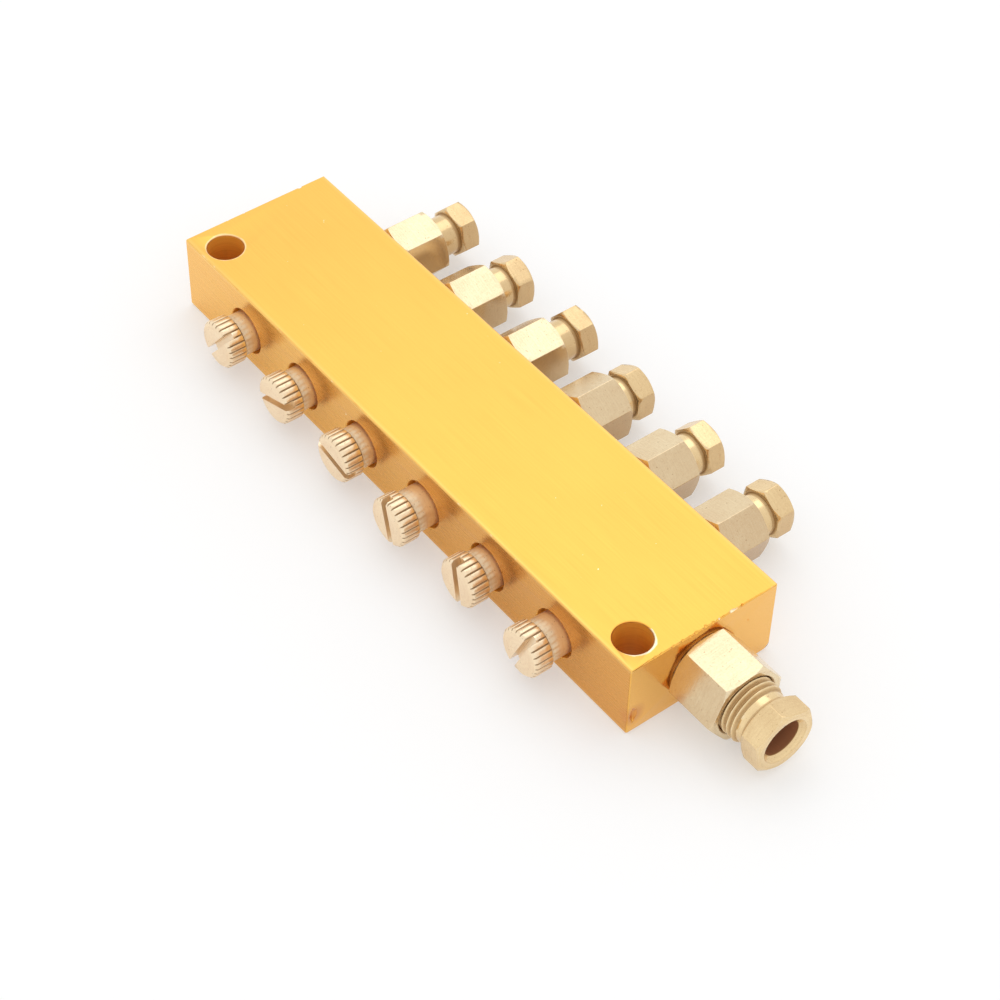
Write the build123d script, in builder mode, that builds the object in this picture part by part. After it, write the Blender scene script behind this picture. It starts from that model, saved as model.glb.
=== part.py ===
from build123d import *
import os
from math import cos, radians, tan

os.makedirs("parts", exist_ok=True)

# Lubricant divider block, in millimetres. The origin is the centre of the block's underside.
# +X runs to the inlet end, +Y to the outlets, -Y to the adjusting screws and +Z up.

# Block
block_width = 27.5
block_height = 14.0
port_from_end = 17.0
port_pitch = 16.0
port_height = 6.2
edge_radius = 0.3
outlet_foot_radius = 1.2
end_edge_break = 0.2
gallery_radius = 2.75
mounting_hole_radius = 3.0
mounting_hole_from_inlet_end = 4.7
mounting_hole_from_plug_end = 5.5
mounting_hole_from_side = 4.2
hole_edge_break = 0.25

# Threads and running clearances, all radial. Threads are plain at their outer diameter.
port_thread_radius = 4.0
thread_clearance = 0.05
shank_clearance = 0.05
seal_clearance = 0.03
tube_clearance = 0.15
thread_chamfer = 0.4
port_run_out = 1.5

# End plug
plug_length = 7.0
plug_recess = 0.25
plug_hole_run_out = 1.0
plug_socket_flats = 5.0
plug_socket_depth = 4.0

# Valve seat between the gallery and each outlet
seat_pocket_radius = 2.4
seat_pocket_depth = 0.6
seat_bore_radius = 1.3
seat_wall = 2.15

# Adjusting screw
screw_head_radius = 4.1
screw_head_thickness = 3.2
screw_head_bevel = 0.4
knurl_count = 24
knurl_width = 0.28
knurl_depth = 0.25
slot_width = 1.2
slot_depth = 1.6
relief_radius = 3.3
relief_width = 0.3
shank_radius = 3.5
shank_length = 8.2
seal_from_shank_end = 1.2
seal_section = 1.16
seal_groove_play = 0.05
stem_radius = 3.0
stem_into_gallery = 1.75
needle_radius = 1.5
needle_tip_radius = 0.4
needle_half_angle = 30.0
seat_gap = 0.05
screw_closed_gap = 1.0
screw_mouth_clearance = 0.5
screw_mouth_depth = 1.5
seal_bore_lead = 0.3
seal_bore_run_out = 0.3

# Hexagons
hex_chamfer_length = 0.4
hex_chamfer_angle = 30.0

# Outlet fitting, for 4 mm tube
washer_thickness = 1.0
washer_radius = 4.8
washer_clearance = 0.1
outlet_collar_length = 0.8
outlet_collar_radius = 4.75
outlet_connector_flats = 10.0
outlet_hex_length = 8.0
outlet_nut_flats = 8.0
outlet_nut_hex_length = 3.5
outlet_nut_thread_radius = 4.0
outlet_nut_neck_radius = 3.45
outlet_nut_neck_length = 3.7
outlet_tube_radius = 2.0
outlet_flow_radius = 1.3
outlet_funnel_radius = 3.0
outlet_funnel_depth = 1.2

# Inlet fitting, for 6 mm tube
inlet_collar_length = 0.4
inlet_collar_radius = 5.7
inlet_connector_flats = 12.0
inlet_hex_length = 9.4
inlet_stub_length = 8.0
inlet_nut_flats = 10.0
inlet_nut_hex_length = 3.85
inlet_nut_thread_radius = 5.0
inlet_nut_neck_radius = 4.5
inlet_nut_neck_length = 1.7
inlet_tube_radius = 3.0
inlet_flow_radius = 2.0
inlet_funnel_radius = 4.0
inlet_funnel_depth = 0.9
inlet_connector_angle = 6.7
inlet_nut_angle = 39.3
inlet_nut_gap = 4.35

# Inside of a compression fitting
cavity_depth = 7.4
cone_depth = 0.8
tube_stop_depth = 1.5
nut_tight_gap = 0.6
ferrule_length = 2.4
ferrule_wall = 0.65
ferrule_lip = 0.15
ferrule_clearance = 0.05

# How each outlet stands. A gap is from the block to the screw's head, or from the connector to
# the nut's head. An angle is that of the slot, or of a hexagon's corner, anticlockwise from level
# as seen from outside.
outlets = [
    dict(screw_gap=2.5, slot_angle=51, connector_angle=10.6, nut_gap=3.65, nut_angle=12.9),
    dict(screw_gap=2.4, slot_angle=20, connector_angle=22.6, nut_gap=3.0, nut_angle=27.6),
    dict(screw_gap=2.3, slot_angle=168, connector_angle=17.4, nut_gap=3.45, nut_angle=10.1),
    dict(screw_gap=3.4, slot_angle=104, connector_angle=33.9, nut_gap=2.05, nut_angle=30.0),
    dict(screw_gap=2.4, slot_angle=100, connector_angle=43.4, nut_gap=2.7, nut_angle=15.1),
    dict(screw_gap=3.2, slot_angle=66, connector_angle=45.8, nut_gap=2.7, nut_angle=31.7),
]

# Places that follow from the sizes
block_length = port_pitch * (len(outlets) - 1) + 2 * port_from_end
port_radius = port_thread_radius + thread_clearance
seat_from_middle = gallery_radius + seat_pocket_depth
outlet_port_depth = block_width / 2 - seat_from_middle - seat_wall
inlet_port_depth = inlet_stub_length + port_run_out
plug_hole_depth = plug_recess + plug_length + plug_hole_run_out
screw_mouth_radius = shank_radius + screw_mouth_clearance
seal_bore_radius = shank_radius + shank_clearance
stem_bore_radius = stem_radius + thread_clearance
seal_bore_depth = shank_length - screw_closed_gap + seal_bore_run_out
seal_from_head = shank_length - seal_from_shank_end
stem_end_closed = block_width / 2 - gallery_radius + stem_into_gallery
inlet_face = Vector(block_length / 2, 0, port_height)
plug_face = Vector(-block_length / 2, 0, port_height)
to_inlet = Vector(1, 0, 0)
to_plug = Vector(-1, 0, 0)
to_outlet = Vector(0, 1, 0)
to_screw = Vector(0, -1, 0)
up = Vector(0, 0, 1)


def port_x(index):
    return -block_length / 2 + port_from_end + index * port_pitch


def outlet_face(index):
    return Vector(port_x(index), block_width / 2, port_height)


def screw_face(index):
    return Vector(port_x(index), -block_width / 2, port_height)


# Plane through a port's axis: x is the radius and y the distance out of the face.
def along(face, outward):
    side = up.cross(outward)
    return Plane(face, x_dir=side, z_dir=side.cross(outward))


# Plane square to a port's axis at a distance out of the face, with its y up.
def across(face, outward, distance):
    return Plane(face + outward * distance, x_dir=up.cross(outward), z_dir=outward)


# Turns an outline of (radius, distance) points about a port's axis.
def turn(face, outward, outline, mode=Mode.ADD):
    with BuildSketch(along(face, outward)) as profile:
        with BuildLine():
            Polyline(*outline, close=True)
        make_face()
    revolve(profile.sketch, axis=Axis(face, outward), mode=mode)


# Drills a bore with a broken mouth edge. Its wall is given as (radius, depth) points from the mouth.
def drill(face, outward, wall, edge_break):
    mouth_radius = wall[0][0]
    outline = [(0, 0), (mouth_radius + edge_break, 0), (mouth_radius, -edge_break)]
    outline += [(radius, -depth) for radius, depth in wall]
    turn(face, outward, outline + [(0, -wall[-1][1])], Mode.SUBTRACT)


# Hexagon bar from start to end, with its corners chamfered at both ends.
def hexagon(face, outward, flats, angle, start, end):
    with BuildSketch(across(face, outward, start)) as section:
        RegularPolygon(flats / 2, 6, major_radius=False, rotation=angle)
    extrude(section.sketch, amount=end - start)
    corner = flats / 2 / cos(radians(30))
    end_radius = corner - hex_chamfer_length / tan(radians(hex_chamfer_angle))
    outline = [(0, start), (end_radius, start), (corner, start + hex_chamfer_length)]
    outline += [(corner, end - hex_chamfer_length), (end_radius, end), (0, end)]
    turn(face, outward, outline, Mode.INTERSECT)


# Inside of a connector: nut cavity, cone for the ferrule, socket for the tube's end and flow bore.
def connector_bore(face, outward, front, thread_radius, tube_hole, flow_radius, inner_end):
    cavity = thread_radius + thread_clearance
    bottom = front - cavity_depth
    cone_end = bottom - cone_depth
    outline = [(0, front), (cavity + thread_chamfer, front), (cavity, front - thread_chamfer)]
    outline += [(cavity, bottom), (tube_hole + cone_depth, bottom), (tube_hole, cone_end)]
    outline += [(tube_hole, cone_end - tube_stop_depth), (flow_radius, cone_end - tube_stop_depth)]
    outline += [(flow_radius, inner_end), (0, inner_end)]
    turn(face, outward, outline, Mode.SUBTRACT)


# Inner end of the ferrule when its nut is tight.
def ferrule_tight_start(front):
    return front - cavity_depth - cone_depth + ferrule_lip + ferrule_clearance


# Length of a nut's screwed end, so that it meets the ferrule when the nut is tight.
def nut_male_length(front):
    overlap = cone_depth - ferrule_lip - ferrule_clearance
    return front + nut_tight_gap - ferrule_tight_start(front) - ferrule_length + overlap


# Compression nut whose head starts at back, with its neck, screwed end, tube hole and funnel mouth.
def nut(face, outward, front, gap, flats, angle, hex_length, thread_radius, neck, tube_hole, funnel):
    neck_radius, neck_length = neck
    funnel_radius, funnel_depth = funnel
    back = front + gap
    head_end = back + hex_length
    inner_end = back - nut_male_length(front)
    hexagon(face, outward, flats, angle, back, head_end)
    outline = [(0, back), (neck_radius, back), (neck_radius, back - neck_length)]
    outline += [(thread_radius, back - neck_length), (thread_radius, inner_end + thread_chamfer)]
    outline += [(thread_radius - thread_chamfer, inner_end), (0, inner_end)]
    turn(face, outward, outline)
    outline = [(0, inner_end), (tube_hole + cone_depth, inner_end), (tube_hole, inner_end + cone_depth)]
    outline += [(tube_hole, head_end - funnel_depth), (funnel_radius, head_end), (0, head_end)]
    turn(face, outward, outline, Mode.SUBTRACT)


# Double-coned compression ring, carried ahead of its nut.
def ferrule(face, outward, front, gap, tube_hole):
    start = ferrule_tight_start(front) + gap - nut_tight_gap
    end = start + ferrule_length
    slope = ferrule_wall - ferrule_lip
    outline = [(tube_hole, start), (tube_hole + ferrule_lip, start)]
    outline += [(tube_hole + ferrule_wall, start + slope), (tube_hole + ferrule_wall, end - slope)]
    outline += [(tube_hole + ferrule_lip, end), (tube_hole, end)]
    turn(face, outward, outline)


# Solid of a connector before it is bored: hexagon, round collar and the stub that screws into the block.
def connector_blank(face, outward, angle, flats, seat, collar, stub_end, hex_length):
    collar_length, collar_radius = collar
    hex_start = seat + collar_length
    hexagon(face, outward, flats, angle, hex_start, hex_start + hex_length)
    turn(face, outward, [(0, seat), (collar_radius, seat), (collar_radius, hex_start), (0, hex_start)])
    outline = [(0, stub_end), (port_thread_radius - thread_chamfer, stub_end)]
    outline += [(port_thread_radius, stub_end + thread_chamfer), (port_thread_radius, seat), (0, seat)]
    turn(face, outward, outline)


def save(piece, name):
    piece.part.label = name
    export_step(piece.part, f"parts/{name}.step")


# Drilled bar, well rounded along its lower edge below the outlets
with BuildPart() as manifold_body:
    Box(block_length, block_width, block_height, align=(Align.CENTER, Align.CENTER, Align.MIN))
    fillet(manifold_body.edges().filter_by(Axis.X).group_by(Axis.Z)[-1], edge_radius)
    screw_foot = manifold_body.edges().filter_by(Axis.X).group_by(Axis.Z)[0].sort_by(Axis.Y)[0]
    fillet(screw_foot, edge_radius)
    outlet_foot = manifold_body.edges().filter_by(Axis.X).group_by(Axis.Z)[0].sort_by(Axis.Y)[-1]
    fillet(outlet_foot, outlet_foot_radius)
    chamfer(manifold_body.faces().sort_by(Axis.X)[0].edges(), end_edge_break)
    chamfer(manifold_body.faces().sort_by(Axis.X)[-1].edges(), end_edge_break)

    # Mounting holes, right through from the top
    hole_y = mounting_hole_from_side - block_width / 2
    for hole_x in (mounting_hole_from_plug_end - block_length / 2,
                   block_length / 2 - mounting_hole_from_inlet_end):
        with Locations((hole_x, hole_y, 0)):
            Cylinder(mounting_hole_radius, block_height, mode=Mode.SUBTRACT,
                     align=(Align.CENTER, Align.CENTER, Align.MIN))
            Cone(mounting_hole_radius + hole_edge_break, mounting_hole_radius, hole_edge_break,
                 mode=Mode.SUBTRACT, align=(Align.CENTER, Align.CENTER, Align.MIN))
        with Locations((hole_x, hole_y, block_height)):
            Cone(mounting_hole_radius, mounting_hole_radius + hole_edge_break, hole_edge_break,
                 mode=Mode.SUBTRACT, align=(Align.CENTER, Align.CENTER, Align.MAX))

    # Inlet port and the gallery behind it, then the plug's hole
    drill(inlet_face, to_inlet, [(port_radius, inlet_port_depth), (gallery_radius, inlet_port_depth),
                                 (gallery_radius, block_length - plug_hole_depth)], thread_chamfer)
    drill(plug_face, to_plug, [(port_radius, plug_hole_depth)], thread_chamfer)

    for index in range(len(outlets)):
        # Outlet port, and the bore from it to the valve seat
        drill(outlet_face(index), to_outlet, [(port_radius, outlet_port_depth),
                                              (seat_bore_radius, outlet_port_depth),
                                              (seat_bore_radius, block_width / 2 - seat_from_middle)],
              thread_chamfer)
        # Screw's wide mouth, seal bore with its lead, threaded bore and the pocket in the gallery's far wall
        seal_bore = [(seal_bore_radius + seal_bore_lead, screw_mouth_depth)]
        seal_bore += [(seal_bore_radius, screw_mouth_depth + seal_bore_lead)]
        seal_bore += [(seal_bore_radius, seal_bore_depth)]
        stem_bore = [(stem_bore_radius, seal_bore_depth), (stem_bore_radius, block_width / 2)]
        pocket = [(seat_pocket_radius, block_width / 2)]
        pocket += [(seat_pocket_radius, block_width / 2 + seat_from_middle)]
        drill(screw_face(index), to_screw,
              [(screw_mouth_radius, screw_mouth_depth)] + seal_bore + stem_bore + pocket, hole_edge_break)
save(manifold_body, "manifold_body")

# Plug with a hexagon socket
with BuildPart() as end_plug:
    plug_end = -plug_recess - plug_length
    outline = [(0, -plug_recess), (port_thread_radius - thread_chamfer, -plug_recess)]
    outline += [(port_thread_radius, -plug_recess - thread_chamfer), (port_thread_radius, plug_end)]
    outline += [(0, plug_end)]
    turn(plug_face, to_plug, outline)
    with BuildSketch(across(plug_face, to_plug, -plug_recess)):
        RegularPolygon(plug_socket_flats / 2, 6, major_radius=False)
    extrude(amount=-plug_socket_depth, mode=Mode.SUBTRACT)
save(end_plug, "end_plug")

# Inlet connector, nut and ferrule
inlet_front = inlet_collar_length + inlet_hex_length
inlet_tube_hole = inlet_tube_radius + tube_clearance
with BuildPart() as inlet_connector:
    connector_blank(inlet_face, to_inlet, inlet_connector_angle, inlet_connector_flats, 0,
                    (inlet_collar_length, inlet_collar_radius), -inlet_stub_length, inlet_hex_length)
    connector_bore(inlet_face, to_inlet, inlet_front, inlet_nut_thread_radius, inlet_tube_hole,
                   inlet_flow_radius, -inlet_stub_length)
save(inlet_connector, "inlet_connector")

with BuildPart() as inlet_nut:
    nut(inlet_face, to_inlet, inlet_front, inlet_nut_gap, inlet_nut_flats, inlet_nut_angle,
        inlet_nut_hex_length, inlet_nut_thread_radius, (inlet_nut_neck_radius, inlet_nut_neck_length),
        inlet_tube_hole, (inlet_funnel_radius, inlet_funnel_depth))
save(inlet_nut, "inlet_nut")

with BuildPart() as inlet_ferrule:
    ferrule(inlet_face, to_inlet, inlet_front, inlet_nut_gap, inlet_tube_hole)
save(inlet_ferrule, "inlet_ferrule")

# Outlet washers, connectors, nuts and ferrules
outlet_front = washer_thickness + outlet_collar_length + outlet_hex_length
outlet_tube_hole = outlet_tube_radius + tube_clearance
outlet_stub_end = port_run_out - outlet_port_depth
for index, setting in enumerate(outlets):
    face = outlet_face(index)
    with BuildPart() as outlet_washer:
        washer_hole = port_thread_radius + washer_clearance
        turn(face, to_outlet, [(washer_hole, 0), (washer_radius, 0),
                               (washer_radius, washer_thickness), (washer_hole, washer_thickness)])
    save(outlet_washer, f"outlet_washer_{index + 1}")

    with BuildPart() as outlet_connector:
        connector_blank(face, to_outlet, setting["connector_angle"], outlet_connector_flats, washer_thickness,
                        (outlet_collar_length, outlet_collar_radius), outlet_stub_end, outlet_hex_length)
        connector_bore(face, to_outlet, outlet_front, outlet_nut_thread_radius, outlet_tube_hole,
                       outlet_flow_radius, outlet_stub_end)
    save(outlet_connector, f"outlet_connector_{index + 1}")

    with BuildPart() as outlet_nut:
        nut(face, to_outlet, outlet_front, setting["nut_gap"], outlet_nut_flats, setting["nut_angle"],
            outlet_nut_hex_length, outlet_nut_thread_radius, (outlet_nut_neck_radius, outlet_nut_neck_length),
            outlet_tube_hole, (outlet_funnel_radius, outlet_funnel_depth))
    save(outlet_nut, f"outlet_nut_{index + 1}")

    with BuildPart() as outlet_ferrule:
        ferrule(face, to_outlet, outlet_front, setting["nut_gap"], outlet_tube_hole)
    save(outlet_ferrule, f"outlet_ferrule_{index + 1}")

# Adjusting screws and the ring in each one's groove. Distances run outwards from the head's back.
seal_radius = seal_bore_radius - seal_clearance - seal_section / 2
groove_radius = seal_radius - seal_section / 2 - seal_clearance
groove_half_width = seal_section / 2 + seal_groove_play
stem_end = -screw_closed_gap - stem_end_closed
seat_contact = seat_gap - screw_closed_gap - block_width / 2 - seat_from_middle
needle_slope = tan(radians(needle_half_angle))
for index, setting in enumerate(outlets):
    head_back = screw_face(index) + to_screw * setting["screw_gap"]
    with BuildPart() as adjusting_screw:
        bevel_start = screw_head_thickness - screw_head_bevel
        outline = [(0, screw_head_thickness), (screw_head_radius - screw_head_bevel, screw_head_thickness)]
        outline += [(screw_head_radius, bevel_start), (screw_head_radius, 0), (relief_radius, 0)]
        outline += [(relief_radius, -relief_width), (shank_radius, -relief_width)]
        outline += [(shank_radius, groove_half_width - seal_from_head)]
        outline += [(groove_radius, groove_half_width - seal_from_head)]
        outline += [(groove_radius, -groove_half_width - seal_from_head)]
        outline += [(shank_radius, -groove_half_width - seal_from_head)]
        outline += [(shank_radius, -shank_length), (stem_radius, -shank_length)]
        outline += [(stem_radius, stem_end + thread_chamfer), (stem_radius - thread_chamfer, stem_end)]
        outline += [(needle_radius, stem_end)]
        outline += [(needle_radius, seat_contact + (needle_radius - seat_bore_radius) / needle_slope)]
        tip = seat_contact - (seat_bore_radius - needle_tip_radius) / needle_slope
        outline += [(needle_tip_radius, tip), (0, tip)]
        turn(head_back, to_screw, outline)
        with BuildSketch(across(head_back, to_screw, screw_head_thickness)):
            with PolarLocations(screw_head_radius, knurl_count):
                Rectangle(2 * knurl_depth, knurl_width)
        extrude(amount=-screw_head_thickness, mode=Mode.SUBTRACT)
        with BuildSketch(across(head_back, to_screw, screw_head_thickness)):
            Rectangle(3 * screw_head_radius, slot_width, rotation=setting["slot_angle"])
        extrude(amount=-slot_depth, mode=Mode.SUBTRACT)
    save(adjusting_screw, f"adjusting_screw_{index + 1}")

    with BuildPart() as screw_seal:
        with BuildSketch(along(head_back, to_screw)):
            with Locations((seal_radius, -seal_from_head)):
                Circle(seal_section / 2)
        revolve(axis=Axis(head_back, to_screw))
    save(screw_seal, f"screw_seal_{index + 1}")
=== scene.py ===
import math
import bmesh
import bpy
import numpy as np
from mathutils import Matrix, Quaternion, Vector, noise


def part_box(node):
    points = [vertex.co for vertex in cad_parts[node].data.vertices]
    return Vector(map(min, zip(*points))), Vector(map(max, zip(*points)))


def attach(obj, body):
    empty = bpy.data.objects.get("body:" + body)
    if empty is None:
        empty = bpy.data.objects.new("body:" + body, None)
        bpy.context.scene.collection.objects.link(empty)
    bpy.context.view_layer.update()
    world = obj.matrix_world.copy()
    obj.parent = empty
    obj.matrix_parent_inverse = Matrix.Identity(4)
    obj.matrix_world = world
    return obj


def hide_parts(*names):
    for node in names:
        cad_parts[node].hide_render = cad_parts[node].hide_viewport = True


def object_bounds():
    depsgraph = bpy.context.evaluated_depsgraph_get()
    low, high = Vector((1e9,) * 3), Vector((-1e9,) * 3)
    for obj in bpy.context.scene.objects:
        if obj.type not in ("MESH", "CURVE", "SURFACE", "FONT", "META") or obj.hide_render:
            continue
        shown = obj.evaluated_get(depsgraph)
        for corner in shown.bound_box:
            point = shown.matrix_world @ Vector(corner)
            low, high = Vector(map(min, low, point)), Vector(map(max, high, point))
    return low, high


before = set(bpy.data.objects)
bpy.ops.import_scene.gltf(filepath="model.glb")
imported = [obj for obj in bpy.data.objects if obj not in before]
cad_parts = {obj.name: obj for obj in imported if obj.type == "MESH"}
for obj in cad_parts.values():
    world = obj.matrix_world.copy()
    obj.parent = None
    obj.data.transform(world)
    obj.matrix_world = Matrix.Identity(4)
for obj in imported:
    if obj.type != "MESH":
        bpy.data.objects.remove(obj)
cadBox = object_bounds()
mm = 0.001
upwards = Vector((0, 0, 1))
outlets = range(1, 7)
print("frame loaded,", len(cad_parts), "nodes")


# colours are written as sRGB hex and used as linear values
def linear(code):
    channels = [int(code[i:i + 2], 16) / 255 for i in (1, 3, 5)]
    return [c / 12.92 if c <= 0.04045 else ((c + 0.055) / 1.055) ** 2.4 for c in channels] + [1.0]


# gives a shader node its inputs: sockets are linked and values are set
def feed(tree, node, inputs):
    for name, value in inputs.items():
        if isinstance(value, bpy.types.NodeSocket):
            tree.links.new(value, node.inputs[name])
        else:
            node.inputs[name].default_value = value


def add(tree, kind, inputs=None, **settings):
    fresh = tree.nodes.new("ShaderNode" + kind)
    for name, value in settings.items():
        setattr(fresh, name, value)
    feed(tree, fresh, inputs or {})
    return fresh


# shorthands for the nodes used most, each giving its output socket
def calc(tree, operation, *values, clamp=False):
    return add(tree, "Math", dict(enumerate(values)), operation=operation, use_clamp=clamp).outputs["Value"]


def hypotenuse(tree, *sides):
    squares = [calc(tree, "POWER", side, 2.0) for side in sides]
    return calc(tree, "SQRT", calc(tree, "ADD", *squares))


def ramp(tree, value, low, high, start=0.0, end=1.0):
    inputs = {"Value": value, "From Min": low, "From Max": high, "To Min": start, "To Max": end}
    return add(tree, "MapRange", inputs).outputs["Result"]


# a Mix node has its two values at 2 and 3, its two colours at 6 and 7, and what it makes of them at 0 and 2
def between(tree, factor, first, second):
    return add(tree, "Mix", {"Factor": factor, 2: first, 3: second}).outputs[0]


def blend(tree, factor, first, second):
    return add(tree, "Mix", {"Factor": factor, 6: first, 7: second}, data_type="RGBA").outputs[2]


def cloud(tree, vector, scale, detail=2.0, roughness=0.5):
    inputs = {"Vector": vector, "Scale": scale, "Detail": detail, "Roughness": roughness}
    return add(tree, "TexNoise", inputs).outputs["Fac"]


def stretch(tree, vector, scale):
    return add(tree, "Mapping", {"Vector": vector, "Scale": scale}).outputs["Vector"]


def relief(tree, height, strength, depth):
    inputs = {"Height": height, "Strength": strength, "Distance": depth * mm}
    return add(tree, "Bump", inputs).outputs["Normal"]


def startMaterial(name):
    material = bpy.data.materials.new(name)
    material.use_nodes = True
    tree = material.node_tree
    return material, tree, tree.nodes["Principled BSDF"]


# where the bar's faces lie in metres, and its mounting holes in mm
blockLow, blockHigh = (Vector(corner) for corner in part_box("manifold_body"))
portHeight = (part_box("end_plug")[0][2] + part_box("end_plug")[1][2]) / 2
mountingHole = dict(middle=0.4, aside=51.9, y=-9.55, radius=3.0, glint=Vector((0.99, 0.12)))

# satin anodised aluminium: a gold dye over drawn bar, so a soft metal sheen with fine lines along the bar,
# glossier on the milled ends, with a few pale specks, and bare metal where edges and hole rims are rubbed;
# painted over it are a highlight along the long edges and on the near hole's rim, and shade on the side
# towards the screws and round a dent; lengths in mm, scales in waves per mm
anodisedBar = dict(
    gold="#F8BD4B", deepGold="#F3AD3B", sideShadeGold="#DE9A32", edgeGlint="#FFE9A0", bare="#FFEFC8",
    speckle="#FFEFC4", stainAndShade="#D98C34",
    roughness=0.33, sideRoughness=0.26, endRoughness=0.17, grainRoughness=(-0.07, 0.09), anisotropy=0.35,
    coat=0.9, sideCoat=0.45, coatRoughness=0.36, skin=(0.1, 0.02),
    lineSpacing=0.28, lineLength=14.0, lineStrength=0.12, lineDepth=0.012,
    tintScale=0.06, speckScale=0.9, specks=(0.765, 0.785), sideShadeSpan=(-30.0, 30.0), sideShadeStrength=0.9,
    edgeWidth=0.28, rubScale=0.42, rubbed=(0.46, 0.60), stainScale=0.15, stained=(0.44, 0.56), glint=0.25,
    rimWidth=0.42, nearRim=(0.05, 1.25), farRim=0.85, farRimStrength=0.5, rimFade=(1.1, 0.7),
    dentShadeAt=(57.0, -12.65, 3.6), dentShadeReach=(2.4, 0.9), dentShadeStrength=0.8,
)


def anodisedMaterial():
    a = anodisedBar
    material, tree, shader = startMaterial("satin_gold_anodised_aluminium")
    place = add(tree, "TexCoord").outputs["Object"]
    fine = 1 / (a["lineSpacing"] * mm)
    grain = cloud(tree, stretch(tree, place, [1 / (a["lineLength"] * mm), fine, fine]), 1.0, 3.0, 0.6)
    specks = ramp(tree, cloud(tree, place, a["speckScale"] / mm, 2.0, 0.7), *a["specks"])
    tint = ramp(tree, grain, 0.3, 0.7, 0.15, 0.75)
    tint = calc(tree, "MULTIPLY", tint, cloud(tree, place, a["tintScale"] / mm))
    colour = blend(tree, tint, linear(a["gold"]), linear(a["deepGold"]))

    # how near the surface is to each of the bar's edges
    split = add(tree, "SeparateXYZ", {"Vector": place}).outputs
    middle, half = (blockLow + blockHigh) / 2, (blockHigh - blockLow) / 2
    spread, nearness = [], []
    for index, axis in enumerate("XYZ"):
        offset = calc(tree, "ADD", split[axis], -middle[index])
        spread.append(calc(tree, "ABSOLUTE", offset))
        nearness.append(ramp(tree, spread[-1], half[index] - 3 * a["edgeWidth"] * mm, half[index]))
    nearEnd, nearSide, nearTop = nearness
    longEdge = calc(tree, "MULTIPLY", nearSide, nearTop)
    endEdges = [calc(tree, "MULTIPLY", nearEnd, other) for other in (nearSide, nearTop)]
    most = calc(tree, "MAXIMUM", calc(tree, "MAXIMUM", *endEdges), longEdge)
    rub = cloud(tree, place, a["rubScale"] / mm, 4.0, 0.65)
    edge = ramp(tree, calc(tree, "MULTIPLY", most, rub), *a["rubbed"])
    stained = calc(tree, "MULTIPLY", most, cloud(tree, place, a["stainScale"] / mm, 3.0, 0.6))
    stained = ramp(tree, stained, *a["stained"], 0.0, 0.6)

    # painted shade: the side towards the screws is a deeper gold, more so towards the inlet
    skinStart, skinEnd = (depth * mm for depth in a["skin"])
    onSide = ramp(tree, split["Y"], blockLow.y + skinStart, blockLow.y + skinEnd)
    shadeTowardsInlet = ramp(tree, split["X"], *(x * mm for x in a["sideShadeSpan"]), 0.0, a["sideShadeStrength"])
    colour = blend(tree, calc(tree, "MULTIPLY", onSide, shadeTowardsInlet), colour, linear(a["sideShadeGold"]))
    # painted highlight: a pale band along the bar's long edges
    colour = blend(tree, calc(tree, "MULTIPLY", longEdge, a["glint"]), colour, linear(a["edgeGlint"]))

    # pale bare ring round the far mounting hole; on the near one it widens on the inlet side into
    # a crescent, a painted highlight where the rim faces the light
    h = mountingHole
    fromMiddle = calc(tree, "ABSOLUTE", calc(tree, "ADD", split["X"], -h["middle"] * mm))
    aside = calc(tree, "ADD", fromMiddle, -h["aside"] * mm)
    along = calc(tree, "ADD", split["Y"], -h["y"] * mm)
    around = hypotenuse(tree, aside, along)
    ahead = [calc(tree, "MULTIPLY", value, share) for value, share in zip((aside, along), h["glint"])]
    facing = calc(tree, "DIVIDE", calc(tree, "ADD", *ahead), around)
    crescent = ramp(tree, facing, 0.0, 0.75, *a["nearRim"])
    near = ramp(tree, split["X"], -mm, mm)
    width = calc(tree, "MULTIPLY", between(tree, near, a["farRim"], crescent), a["rimWidth"] * mm)
    beyond = calc(tree, "DIVIDE", calc(tree, "ADD", around, -h["radius"] * mm), width)
    rim = calc(tree, "ADD", beyond, ramp(tree, rub, 0.3, 0.7, -0.3, 0.3))
    rim = calc(tree, "MULTIPLY", ramp(tree, rim, *a["rimFade"]), nearTop)
    rim = calc(tree, "MULTIPLY", rim, ramp(tree, near, 0.0, 1.0, a["farRimStrength"], 1.0))

    # stains along the edges and painted shade round the dent, then what lies over the dye
    dentShadeAt = Vector(a["dentShadeAt"]) * mm
    fromDent = add(tree, "VectorMath", {0: place, 1: dentShadeAt}, operation="DISTANCE").outputs["Value"]
    dentShading = ramp(tree, fromDent, *(length * mm for length in a["dentShadeReach"]), 0.0, a["dentShadeStrength"])
    colour = blend(tree, calc(tree, "MAXIMUM", stained, dentShading), colour, linear(a["stainAndShade"]))
    colour = blend(tree, calc(tree, "MAXIMUM", edge, rim), colour, linear(a["bare"]))
    colour = blend(tree, specks, colour, linear(a["speckle"]))

    onEnd = ramp(tree, spread[0], half.x - skinStart, half.x - skinEnd)
    sheen = ramp(tree, grain, 0.0, 1.0, *(a["roughness"] + change for change in a["grainRoughness"]))
    for mask, level in ((onEnd, a["endRoughness"]), (onSide, a["sideRoughness"])):
        sheen = calc(tree, "MULTIPLY", sheen, ramp(tree, mask, 0.0, 1.0, 1.0, level / a["roughness"]))
    feed(tree, shader, {
        "Base Color": colour, "Roughness": sheen, "Metallic": 1.0, "Anisotropic": a["anisotropy"],
        "Tangent": add(tree, "Tangent", direction_type="RADIAL", axis="X").outputs["Tangent"],
        "Normal": relief(tree, grain, a["lineStrength"], a["lineDepth"]),
        "Coat Weight": ramp(tree, onSide, 0.0, 1.0, a["coat"], a["sideCoat"]),
        "Coat Roughness": a["coatRoughness"],
    })
    return material


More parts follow.
